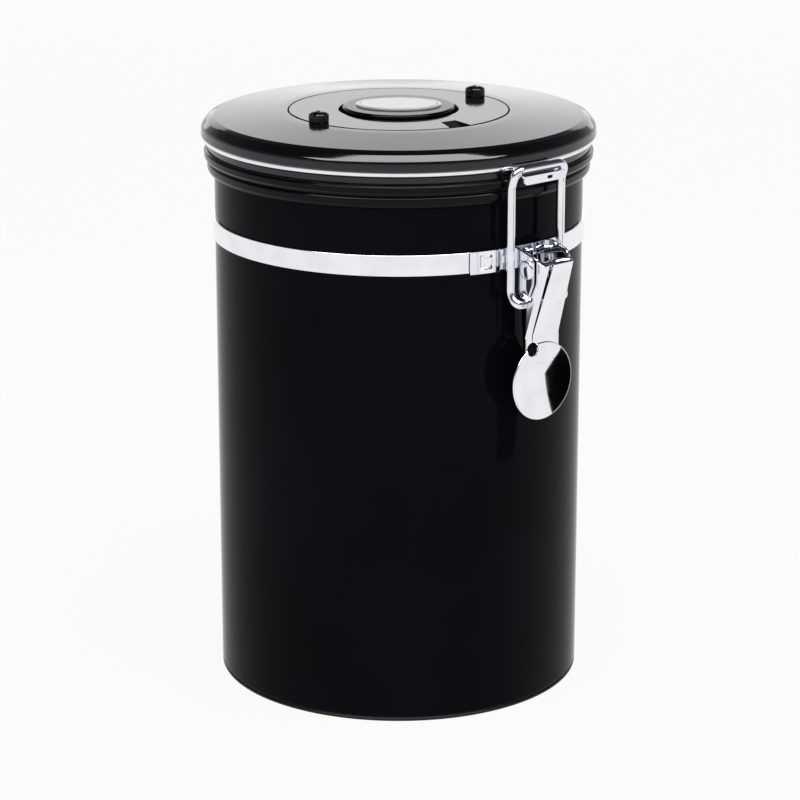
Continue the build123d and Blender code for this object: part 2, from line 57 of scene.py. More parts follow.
MM = 0.001
ROUND_STEPS = 5  # facets in a rounded corner
LATHE_STEPS = 192  # facets round a large turned piece
SMALL_LATHE_STEPS = 64
CREASE = math.radians(38)  # an edge that folds more than this is shaded as a sharp one
WELD = 1e-4  # millimetres

Colour = tuple[float, float, float, float]
Corner = tuple[float, float, float]  # two coordinates and the radius that rounds the corner


class Part(Enum):
    """The bodies of the frame that carry new pieces."""

    CAN = "can"
    LID = "lid"
    LEVER = "lever"
    BAIL = "bail"
    STUD_LEFT = "stud_left"
    STUD_RIGHT = "stud_right"


class Joinery(Enum):
    """How one closed shape meets another."""

    CUT = "DIFFERENCE"
    FUSE = "UNION"


class Turning(Enum):
    """The direction of a lathe's axis."""

    UPRIGHT = "Z"
    ACROSS = "X"
    FACING = "Y"


# ---- finishes -----------------------------------------------------------------------------


def linear(code: str) -> Colour:
    """Turn an sRGB hex colour into linear light.

    Args:
        code: Six hex digits after a hash.

    Returns:
        Red, green, blue and an alpha of one.
    """
    channels = [int(code[start : start + 2], 16) / 255 for start in (1, 3, 5)]
    light = [c / 12.92 if c <= 0.04045 else ((c + 0.055) / 1.055) ** 2.4 for c in channels]
    return (light[0], light[1], light[2], 1.0)


def add_node(tree: bpy.types.NodeTree, kind: str, sockets: dict | None = None, **settings) -> bpy.types.Node:
    """Add a node, fill its properties and its inputs.

    Args:
        tree: The node tree that gets the node.
        kind: The node's type name.
        sockets: Input name or number to a value, or to the output socket that feeds it.
        settings: Node properties.

    Returns:
        The new node.
    """
    node = tree.nodes.new(kind)
    for name, value in settings.items():
        setattr(node, name, value)
    for name, value in (sockets or {}).items():
        if isinstance(value, bpy.types.NodeSocket):
            tree.links.new(value, node.inputs[name])
        else:
            node.inputs[name].default_value = value
    return node


@dataclass(frozen=True)
class Finish:
    """A surface as it leaves the factory: two close tones, a gloss that varies and a fine relief.

    Sizes are millimetres on the real surface.
    """

    name: str
    dark: str
    light: str
    tone_size: float = 30.0
    gloss: tuple[float, float] = (0.1, 0.2)
    gloss_size: float = 12.0
    relief: float = 0.0
    relief_size: float = 1.0
    stretch: tuple[float, float, float] = (1.0, 1.0, 1.0)
    metallic: float = 0.0
    specular: float = 0.5

    def noise(self, tree: bpy.types.NodeTree, size: float, detail: float = 3.0) -> bpy.types.NodeSocket:
        """Add a noise whose features measure a given number of millimetres.

        Args:
            tree: The material's node tree.
            size: The size of a feature.
            detail: How many finer layers it has.

        Returns:
            The noise's value, from 0 to 1.
        """
        place = add_node(tree, "ShaderNodeTexCoord")
        turned = add_node(
            tree, "ShaderNodeMapping", {"Vector": place.outputs["Object"], "Scale": self.stretch}
        )
        return add_node(
            tree,
            "ShaderNodeTexNoise",
            {"Vector": turned.outputs["Vector"], "Scale": 1 / (size * MM), "Detail": detail},
        ).outputs["Fac"]

    def colour(self, tree: bpy.types.NodeTree) -> bpy.types.NodeSocket:
        """Mix the two tones by a soft cloud."""
        cloud = self.noise(tree, self.tone_size)
        spread = add_node(
            tree,
            "ShaderNodeMapRange",
            {"Value": cloud, "From Min": 0.35, "From Max": 0.65},
            interpolation_type="SMOOTHSTEP",
        )
        mixed = add_node(
            tree,
            "ShaderNodeMix",
            {0: spread.outputs["Result"], 6: linear(self.dark), 7: linear(self.light)},
            data_type="RGBA",
        )
        return mixed.outputs[2]

    def roughness(self, tree: bpy.types.NodeTree) -> bpy.types.NodeSocket:
        """Let the gloss drift between its two limits, as handling leaves it."""
        cloud = self.noise(tree, self.gloss_size, 5.0)
        low, high = self.gloss
        return add_node(
            tree,
            "ShaderNodeMapRange",
            {"Value": cloud, "From Min": 0.3, "From Max": 0.7, "To Min": low, "To Max": high},
        ).outputs["Result"]

    def normal(self, tree: bpy.types.NodeTree) -> bpy.types.NodeSocket:
        """Raise the fine relief."""
        height = self.noise(tree, self.relief_size, 2.0)
        return add_node(
            tree, "ShaderNodeBump", {"Height": height, "Distance": self.relief * MM, "Strength": 1.0}
        ).outputs["Normal"]

    def dress(self, tree: bpy.types.NodeTree, shader: bpy.types.Node) -> None:
        """Add what is special to one finish. The plain finish adds nothing."""

    def material(self) -> bpy.types.Material:
        """Make the material, or find it if it is already made."""
        known = bpy.data.materials.get(self.name)
        if known:
            return known
        material = bpy.data.materials.new(self.name)
        material.use_nodes = True
        tree = material.node_tree
        shader = tree.nodes["Principled BSDF"]
        shader.inputs["Metallic"].default_value = self.metallic
        shader.inputs["Specular IOR Level"].default_value = self.specular
        tree.links.new(self.colour(tree), shader.inputs["Base Color"])
        tree.links.new(self.roughness(tree), shader.inputs["Roughness"])
        if self.relief:
            tree.links.new(self.normal(tree), shader.inputs["Normal"])
        self.dress(tree, shader)
        return material


@dataclass(frozen=True)
class Felt(Finish):
    """Pressed wool felt: short fibres that lie every way, with a soft sheen."""

    def dress(self, tree: bpy.types.NodeTree, shader: bpy.types.Node) -> None:
        """Give the fibres their sheen."""
        shader.inputs["Sheen Weight"].default_value = 0.4
        shader.inputs["Sheen Roughness"].default_value = 0.6


@dataclass(frozen=True)
class Silicone(Finish):
    """Cured silicone rubber: cloudy, with a little light passing under the surface."""

    def dress(self, tree: bpy.types.NodeTree, shader: bpy.types.Node) -> None:
        """Let light into the rubber."""
        shader.inputs["Subsurface Weight"].default_value = 0.25
        shader.inputs["Subsurface Scale"].default_value = 0.002


# Black stoving enamel on steel: sprayed and baked, so it is glassy with a faint orange peel.
ENAMEL = Finish(
    "stoved_black_enamel", "#090a0f", "#0e0f15", 60.0, (0.03, 0.08), 25.0, 0.0010, 1.6, specular=0.03
)
# The same enamel under the foot, dulled where it slides on shelves.
FOOT_ENAMEL = Finish(
    "satin_black_enamel", "#131316", "#1b1b1e", 20.0, (0.28, 0.45), 8.0, 0.004, 0.9, specular=0.25
)
# ABS from a polished mould: deep black, slightly wavy where the wall shrank.
GLOSS_ABS = Finish(
    "polished_black_abs", "#0b0b0e", "#101013", 40.0, (0.06, 0.12), 18.0, 0.0015, 3.5, specular=0.5
)
# The collar is the same ABS from a duller mould, so that its beads read as soft lines.
COLLAR_ABS = Finish(
    "moulded_black_abs", "#08080c", "#0d0d12", 40.0, (0.10, 0.18), 14.0, 0.001, 2.2, specular=0.12
)
# Spark-eroded mould texture on the hidden side of the lid.
TEXTURED_ABS = Finish(
    "spark_textured_abs", "#141416", "#1d1d20", 15.0, (0.38, 0.52), 6.0, 0.012, 0.45, specular=0.4
)
# Turned nylon of the quarter-turn studs, a little duller than the lid.
STUD_NYLON = Finish(
    "moulded_black_nylon", "#0c0c0f", "#131316", 6.0, (0.14, 0.24), 3.0, 0.002, 0.5, specular=0.5
)
# Nickel and chrome plate over buffed steel: mirror bright, with the buffing wheel's faint waves.
CHROME = Finish(
    "bright_chrome_plate", "#e6e8f0", "#eff0f6", 10.0, (0.02, 0.06), 5.0, 0.0006, 2.0, metallic=1.0
)
# Drawn wire keeps its die lines under the plate.
CHROME_WIRE = Finish(
    "chromed_drawn_wire", "#e4e6ee", "#eeeff5", 10.0, (0.03, 0.08), 3.0, 0.0006, 1.2, metallic=1.0
)
# Zinc plated screws: greyer than chrome and softly clouded.
ZINC = Finish(
    "zinc_plated_steel", "#a9abb0", "#bfc1c6", 2.0, (0.22, 0.4), 1.0, 0.002, 0.3, metallic=1.0
)
# Bare stainless inside the can, brushed round the wall, so that the grain is stretched sideways.
STAINLESS = Finish(
    "brushed_stainless_steel",
    "#acacab",
    "#b8b8b6",
    8.0,
    (0.28, 0.33),
    1.0,
    0.0008,
    0.5,
    stretch=(0.06, 0.06, 1.0),
    metallic=1.0,
)
BADGE_WHITE = Finish(
    "glazed_white_print", "#f2f2f0", "#fafaf8", 8.0, (0.08, 0.14), 4.0, 0.0008, 1.5, specular=0.5
)
BADGE_LINE = Finish(
    "glazed_dark_print", "#1a1a1d", "#232326", 8.0, (0.08, 0.14), 4.0, 0.0008, 1.5, specular=0.5
)
SILICONE = Silicone(
    "cured_grey_silicone", "#a9a9a4", "#b9b9b3", 10.0, (0.35, 0.5), 4.0, 0.003, 0.7, specular=0.4
)
FELT = Felt(
    "pressed_wool_felt", "#cfc9ba", "#e6e1d3", 1.2, (0.85, 0.98), 2.0, 0.08, 0.5, specular=0.2
)


# ---- workshop -----------------------------------------------------------------------------


@dataclass(frozen=True)
class Extent:
    """The box of a CAD node at rest, in millimetres."""

    low: Vector
    high: Vector

    @classmethod
    def of(cls, node: str) -> "Extent":
        """Read a node's box from the frame."""
        low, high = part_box(node)
        return cls(low / MM, high / MM)

    @property
    def radius(self) -> float:
        """The outside radius of a piece turned round the can's axis."""
        return self.high.x

    @property
    def middle(self) -> Vector:
        """The centre of the box."""
        return (self.low + self.high) / 2


def rounded(points: Sequence[Vector], radii: Sequence[float], closed: bool = False) -> list[Vector]:
    """Round the corners of a path with arcs.

    Args:
        points: The sharp corners, in order.
        radii: The radius at each of them, where 0 keeps it sharp.
        closed: Whether the last corner joins the first.

    Returns:
        The points of the rounded path.
    """
    path = []
    last = len(points) - 1
    for index, (corner, radius) in enumerate(zip(points, radii)):
        at_end = not closed and index in (0, last)
        back = points[index - 1] - corner
        ahead = points[(index + 1) % len(points)] - corner
        turn = math.pi - back.angle(ahead) if not at_end else 0.0
        if at_end or radius <= 0 or turn < math.radians(2):
            path.append(corner.copy())
            continue
        reach = radius * math.tan(turn / 2)
        start = corner + back.normalized() * reach
        end = corner + ahead.normalized() * reach
        inward = (back.normalized() + ahead.normalized()).normalized()
        centre = corner + inward * (radius / math.cos(turn / 2))
        steps = max(2, math.ceil(ROUND_STEPS * turn / (math.pi / 2)))
        for step in range(steps + 1):
            aim = (start - centre).slerp(end - centre, step / steps)
            path.append(centre + aim.normalized() * radius)
    return path


def lathe(
    corners: Sequence[Corner], turning: Turning = Turning.UPRIGHT, steps: int = LATHE_STEPS
) -> bmesh.types.BMesh:
    """Turn a closed outline full circle.

    Args:
        corners: Radius, distance along the axis and rounding of each corner.
        turning: The direction of the axis, through the origin.
        steps: How many facets go round.

    Returns:
        The turned shape.
    """
    flat = rounded([Vector((r, 0, z)) for r, z, _ in corners], [c[2] for c in corners], closed=True)
    shape = bmesh.new()
    verts = [shape.verts.new(point) for point in flat]
    edges = [shape.edges.new(pair) for pair in zip(verts, verts[1:] + verts[:1])]
    bmesh.ops.spin(
        shape,
        geom=verts + edges,
        cent=(0, 0, 0),
        axis=(0, 0, 1),
        angle=math.tau,
        steps=steps,
        use_merge=True,
    )
    weld(shape)
    if turning is Turning.ACROSS:
        bmesh.ops.rotate(shape, verts=shape.verts, matrix=Matrix.Rotation(math.pi / 2, 3, "Y"))
    if turning is Turning.FACING:
        bmesh.ops.rotate(shape, verts=shape.verts, matrix=Matrix.Rotation(math.pi / 2, 3, "X"))
    return shape


def weld(shape: bmesh.types.BMesh) -> None:
    """Merge doubled points, drop the slivers that leaves and turn the faces outwards."""
    bmesh.ops.remove_doubles(shape, verts=shape.verts, dist=WELD)
    bmesh.ops.dissolve_degenerate(shape, edges=shape.edges, dist=WELD)
    bmesh.ops.recalc_face_normals(shape, faces=shape.faces)


def plate(outline: Sequence[Vector], thickness: Vector) -> bmesh.types.BMesh:
    """Cut a plate from a flat closed outline.

    Args:
        outline: The corners of one face.
        thickness: The way from that face to the other one.

    Returns:
        The plate.
    """
    shape = bmesh.new()
    face = shape.faces.new([shape.verts.new(point) for point in outline])
    grown = bmesh.ops.extrude_face_region(shape, geom=[face], use_keep_orig=True)["geom"]
    moved = [item for item in grown if isinstance(item, bmesh.types.BMVert)]
    bmesh.ops.translate(shape, verts=moved, vec=thickness)
    weld(shape)
    return shape


def block(low: Vector, high: Vector) -> bmesh.types.BMesh:
    """A box between two corners, as a cutter or a blank."""
    shape = bmesh.new()
    size = high - low
    place = Matrix.Translation((low + high) / 2) @ Matrix.Diagonal((*size, 1))
    bmesh.ops.create_cube(shape, size=1, matrix=place)
    return shape


def joined(base: bmesh.types.BMesh, tool: bmesh.types.BMesh, how: Joinery) -> bmesh.types.BMesh:
    """Cut one closed shape with another, or make the two one.

    Args:
        base: The shape that is worked on. It is used up.
        tool: The other shape. It is used up.
        how: Whether it cuts or adds.

    Returns:
        The result.
    """
    blanks = []
    for shape in (base, tool):
        mesh = bpy.data.meshes.new("blank")
        shape.to_mesh(mesh)
        shape.free()
        blanks.append(bpy.data.objects.new("blank", mesh))
        bpy.context.scene.collection.objects.link(blanks[-1])
    modifier = blanks[0].modifiers.new("joinery", "BOOLEAN")
    modifier.operation = how.value
    modifier.solver = "EXACT"
    modifier.object = blanks[1]
    graph = bpy.context.evaluated_depsgraph_get()
    mesh = bpy.data.meshes.new_from_object(blanks[0].evaluated_get(graph))
    result = bmesh.new()
    result.from_mesh(mesh)
    for blank in blanks:
        bpy.data.meshes.remove(blank.data)
    bpy.data.meshes.remove(mesh)
    weld(result)
    return result


def gather(shapes: Sequence[bmesh.types.BMesh]) -> bmesh.types.BMesh:
    """Put several shapes in one mesh without joining them."""
    whole = bmesh.new()
    for shape in shapes:
        mesh = bpy.data.meshes.new("blank")
        shape.to_mesh(mesh)
        shape.free()
        whole.from_mesh(mesh)
        bpy.data.meshes.remove(mesh)
    return whole


def eased(shape: bmesh.types.BMesh, width: float, segments: int = 2, fold: float = 30.0) -> bmesh.types.BMesh:
    """Break the sharp edges of a shape.

    Args:
        shape: The shape, changed in place.
        width: The width of the bevel.
        segments: How many facets it has.
        fold: Degrees past which an edge counts as sharp.

    Returns:
        The same shape.
    """
    sharp = [e for e in shape.edges if e.is_manifold and e.calc_face_angle() > math.radians(fold)]
    bmesh.ops.bevel(
        shape,
        geom=sharp,
        offset=width,
        segments=segments,
        profile=0.5,
        affect="EDGES",
        material=-1,
        clamp_overlap=False,
    )
    return shape


def from_node(node: str, width: float) -> bmesh.types.BMesh:
    """Take a CAD node's shape, make its facets one skin and break its edges.

    Args:
        node: The CAD node.
        width: The width of the broken edges.

    Returns:
        The shape, in millimetres.
    """
    shape = bmesh.new()
    shape.from_mesh(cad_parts[node].data)
    bmesh.ops.scale(shape, vec=(1 / MM, 1 / MM, 1 / MM), verts=shape.verts)
    bmesh.ops.remove_doubles(shape, verts=shape.verts, dist=0.002)
    bmesh.ops.dissolve_limit(
        shape, angle_limit=math.radians(0.6), verts=shape.verts, edges=shape.edges
    )
    return eased(shape, width)


def wire(
    route: Sequence[Vector], bends: Sequence[float], radius: float, around: int = 20
) -> bmesh.types.BMesh:
    """Bend a round wire along a route.

    Args:
        route: The corners of its centre line.
        bends: The bend radius at each of them.
        radius: The wire's own radius.
        around: How many facets go round it.

    Returns:
        The closed wire.
    """
    line = rounded(route, bends)
    curve = bpy.data.curves.new("wire", "CURVE")
    curve.dimensions = "3D"
    curve.bevel_depth = radius
    curve.bevel_resolution = around // 4 - 1
    curve.use_fill_caps = True
    spline = curve.splines.new("POLY")
    spline.points.add(len(line) - 1)
    for point, place in zip(spline.points, line):
        point.co = (*place, 1)
    blank = bpy.data.objects.new("wire", curve)
    bpy.context.scene.collection.objects.link(blank)
    graph = bpy.context.evaluated_depsgraph_get()
    mesh = bpy.data.meshes.new_from_object(blank.evaluated_get(graph))
    shape = bmesh.new()
    shape.from_mesh(mesh)
    bpy.data.curves.remove(curve)
    bpy.data.meshes.remove(mesh)
    weld(shape)
    return shape


def wrapped(shape: bmesh.types.BMesh, radius: float, step: float = 0.6) -> bmesh.types.BMesh:
    """Bend a flat strip round the can.

    Args:
        shape: The strip, with X along it, Y outwards and Z up. X is 0 in front of the latch.
        radius: The radius that Y = 0 takes.
        step: The longest stretch of the strip that stays straight.

    Returns:
        The same shape, bent.
    """
    low = min(v.co.x for v in shape.verts)
    high = max(v.co.x for v in shape.verts)
    for cut in range(1, math.ceil((high - low) / step)):
        bmesh.ops.bisect_plane(
            shape,
            geom=[*shape.verts, *shape.edges, *shape.faces],
            plane_co=(low + cut * step, 0, 0),
            plane_no=(1, 0, 0),
        )
    for vert in shape.verts:
        angle = vert.co.x / radius
        reach = radius + vert.co.y
        vert.co = (reach * math.sin(angle), -reach * math.cos(angle), vert.co.z)
    bmesh.ops.recalc_face_normals(shape, faces=shape.faces)
    return shape


def publish(
    name: str,
    shape: bmesh.types.BMesh,
    finishes: Sequence[Finish],
    part: Part,
    node: str,
) -> bpy.types.Object:
    """Turn a finished shape into a piece of the model in place of a CAD node.

    Args:
        name: The piece's name.
        shape: The shape in millimetres. It is used up.
        finishes: Its finishes, in the order of its faces' material numbers.
        part: The body that it rides on.
        node: The CAD node that it stands for.

    Returns:
        The piece.
    """
    bmesh.ops.scale(shape, vec=(MM, MM, MM), verts=shape.verts)
    for face in shape.faces:
        face.smooth = True
    for edge in shape.edges:
        edge.smooth = not (edge.is_manifold and edge.calc_face_angle() > CREASE)
    mesh = bpy.data.meshes.new(name)
    shape.to_mesh(mesh)
    shape.free()
    for finish in finishes:
        mesh.materials.append(finish.material())
    piece = bpy.data.objects.new(name, mesh)
    bpy.context.scene.collection.objects.link(piece)
    shading = piece.modifiers.new("even_shading", "WEIGHTED_NORMAL")
    shading.keep_sharp = True
    shading.weight = 90
    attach(piece, part.value)
    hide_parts(node)
    log.info("%s: %d faces on %s", name, len(mesh.polygons), part.value)
    return piece


def repaint(node: str, finish: Finish) -> None:
    """Give a CAD node that stays a better finish."""
    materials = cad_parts[node].data.materials
    for index in range(len(materials)):
        materials[index] = finish.material()
    log.info("%s: keeps its CAD shape", node)


# ---- the can ------------------------------------------------------------------------------


@dataclass
class Can:
    """The enamelled can, its seamed base and the moulded collar round its mouth."""

    wall: float = 0.6
    seam_high: float = 1.0  # height of the rolled seam round the base
    body: Extent = field(default_factory=lambda: Extent.of("canister_body"))
    base: Extent = field(default_factory=lambda: Extent.of("base_pan"))
    collar: Extent = field(default_factory=lambda: Extent.of("rim_collar"))

    def build(self) -> None:
        """Build and dress the three pieces."""
        self.shell()
        self.foot()
        self.rim()

    def shell(self) -> None:
        """Draw the wall, enamelled outside and bare inside."""
        outer = self.body.radius
        inner = outer - self.wall
        shape = lathe(
            [
                (inner, self.seam_high + 0.25, 0),
                (outer - 0.35, self.seam_high + 0.25, 0),
                (outer, self.seam_high + 0.9, 0.8),
                (outer, self.body.high.z, 0),
                (inner, self.body.high.z, 0),
            ]
        )
        for face in shape.faces:
            face.material_index = int(face.calc_center_median().xy.length < outer - self.wall / 2)
        publish("can_shell", shape, [ENAMEL, STAINLESS], Part.CAN, "canister_body")

    def foot(self) -> None:
        """Press the base with its channel, and roll the seam that shows as a fine bright line."""
        rim = self.body.radius - 0.1
        pan = self.body.radius - self.wall
        floor = self.base.low.z + 4.0
        inside = floor + self.wall
        shape = lathe(
            [
                (0, floor, 0),
                (52.0, floor, 1.5),
                (56.0, 1.2, 1.0),
                (58.6, 1.2, 0.5),
                (59.2, 0, 0.3),
                (rim, 0, 0.45),
                (rim, self.seam_high, 0.45),
                (pan, self.seam_high + 0.1, 0),
                (pan, 6.0, 0.2),
                (pan - self.wall, 6.0, 0.2),
                (pan - self.wall, 2.0, 0.4),
                (56.3, 2.0, 0.6),
                (52.3, inside, 1.5),
                (0, inside, 0),
            ]
        )
        for face in shape.faces:
            centre = face.calc_center_median()
            above = centre.z > self.seam_high + 0.3 and face.normal.z > -0.3
            face.material_index = int(above)
        publish("seamed_base", shape, [FOOT_ENAMEL, STAINLESS], Part.CAN, "base_pan")

    def rim(self) -> None:
        """Mould the collar with its two beads."""
        skin = self.body.radius
        bead = self.collar.radius
        low, top = self.collar.low.z, self.collar.high.z
        lower_bead = bead - 1.0
        shape = lathe(
            [
                (skin, low, 0),
                (skin + 0.7, low, 0.25),
                (lower_bead - 0.4, low + 0.8, 0.5),
                (lower_bead, low + 1.7, 0.6),
                (lower_bead, low + 3.5, 0.5),
                (lower_bead - 0.6, low + 4.3, 0.3),
                (lower_bead - 0.6, low + 4.8, 0.15),
                (bead - 0.5, low + 5.0, 0.35),
                (bead, low + 5.7, 0.5),
                (bead, top - 0.8, 0.5),
                (bead - 0.8, top, 0.4),
                (58.8, top, 0.5),
                (58.8, low + 1.5, 0.4),
                (59.6, low + 0.5, 0.3),
                (skin - self.wall, low + 0.5, 0),
                (skin - self.wall, self.body.high.z, 0),
                (skin, self.body.high.z, 0),
            ]
        )
        publish("mouth_collar", shape, [COLLAR_ABS], Part.CAN, "rim_collar")


@dataclass
class Strap:
    """The chromed strap round the can, its folded clip and the tongue that locks it."""

    lip: float = 0.25
    leaf: float = 0.6  # thickness of the clip's sheet
    clip_ends: tuple[float, float] = (-20.0, -9.7)  # degrees round from the latch
    window: tuple[float, float] = (-16.9, -12.9)
    window_half: float = 2.3
    crease_radius: float = 0.36
    band: Extent = field(default_factory=lambda: Extent.of("clamp_band"))
    can: Extent = field(default_factory=lambda: Extent.of("canister_body"))

    def build(self) -> None:
        """Build and dress the three pieces."""
        self.hoop()
        self.clip()
        self.tongue()

    @property
    def tongue_radius(self) -> float:
        """The outside of the tongue, which lies on the strap."""
        return self.band.radius + 0.4

    def along(self, degrees: float) -> float:
        """The length along the strip for an angle round from the latch."""
        return math.radians(degrees) * self.tongue_radius

    def hoop(self) -> None:
        """Roll the strap, with its edges just turned."""
        low, high = self.band.low.z, self.band.high.z
        inner, outer = self.can.radius, self.band.radius
        shape = lathe([(inner, low, 0), (outer, low, 0.3), (outer, high, 0.3), (inner, high, 0)])
        publish("strap_hoop", shape, [CHROME], Part.CAN, "clamp_band")

    def clip(self) -> None:
        """Fold the clip, cut its window and knock its free corners off."""
        low, high = self.band.low.z - self.lip, self.band.high.z + self.lip
        start, end = (self.along(angle) for angle in self.clip_ends)
        chamfer = 1.2
        inset = self.tongue_radius - self.can.radius - 0.1
        outline = [
            Vector((start, 0, low)),
            Vector((end - chamfer, 0, low)),
            Vector((end, 0, low + chamfer)),
            Vector((end, 0, high - chamfer)),
            Vector((end - chamfer, 0, high)),
            Vector((start, 0, high)),
        ]
        sleeve = plate(outline, Vector((0, self.leaf, 0)))
        middle = (low + high) / 2
        left, right = (self.along(angle) for angle in self.window)
        window = block(
            Vector((left, -1, middle - self.window_half)), Vector((right, 2, middle + self.window_half))
        )
        sleeve = joined(sleeve, window, Joinery.CUT)
        # two pressed creases stand either side of the window
        ridges = [self.crease(x, low + 0.3, high - 0.3) for x in (left - 1.1, right + 0.9)]
        lips = [
            block(Vector((start, -inset, z)), Vector((end - chamfer, self.leaf - 0.05, z + self.lip)))
            for z in (low, high - self.lip)
        ]
        whole = gather([eased(sleeve, 0.13), *ridges, *[eased(lip, 0.05) for lip in lips]])
        shape = wrapped(whole, self.tongue_radius)
        publish("strap_clip", shape, [CHROME], Part.CAN, "band_clip")

    def crease(self, x: float, low: float, high: float) -> bmesh.types.BMesh:
        """A half-round crease that stands up from the clip.

        Args:
            x: Its place along the strip.
            low: Its lower end.
            high: Its upper end.

        Returns:
            The crease.
        """
        arch = [math.pi * step / 12 for step in range(13)]
        radius = self.crease_radius
        outline = [
            Vector((x + radius * math.cos(a), self.leaf - 0.05 + radius * math.sin(a), low)) for a in arch
        ]
        return plate(outline, Vector((0, 0, high - low)))

    def tongue(self) -> None:
        """Cut the tongue with its T head, which shows in the window."""
        middle = (self.band.low.z + self.band.high.z) / 2
        head = self.along(self.window[0] + 0.5)
        neck = self.along(self.window[0] + 1.7)
        tip = self.along(-8.0)
        thick = self.tongue_radius - self.band.radius
        outline = [
            Vector((head, -thick, middle - 2.0)),
            Vector((neck, -thick, middle - 2.0)),
            Vector((neck, -thick, middle - 1.3)),
            Vector((tip, -thick, middle - 1.3)),
            Vector((tip, -thick, middle + 1.3)),
            Vector((neck, -thick, middle + 1.3)),
            Vector((neck, -thick, middle + 2.0)),
            Vector((head, -thick, middle + 2.0)),
        ]
        shape = wrapped(eased(plate(outline, Vector((0, thick, 0))), 0.1), self.tongue_radius)
        publish("strap_tongue", shape, [CHROME], Part.CAN, "band_tongue")


# ---- the latch ----------------------------------------------------------------------------


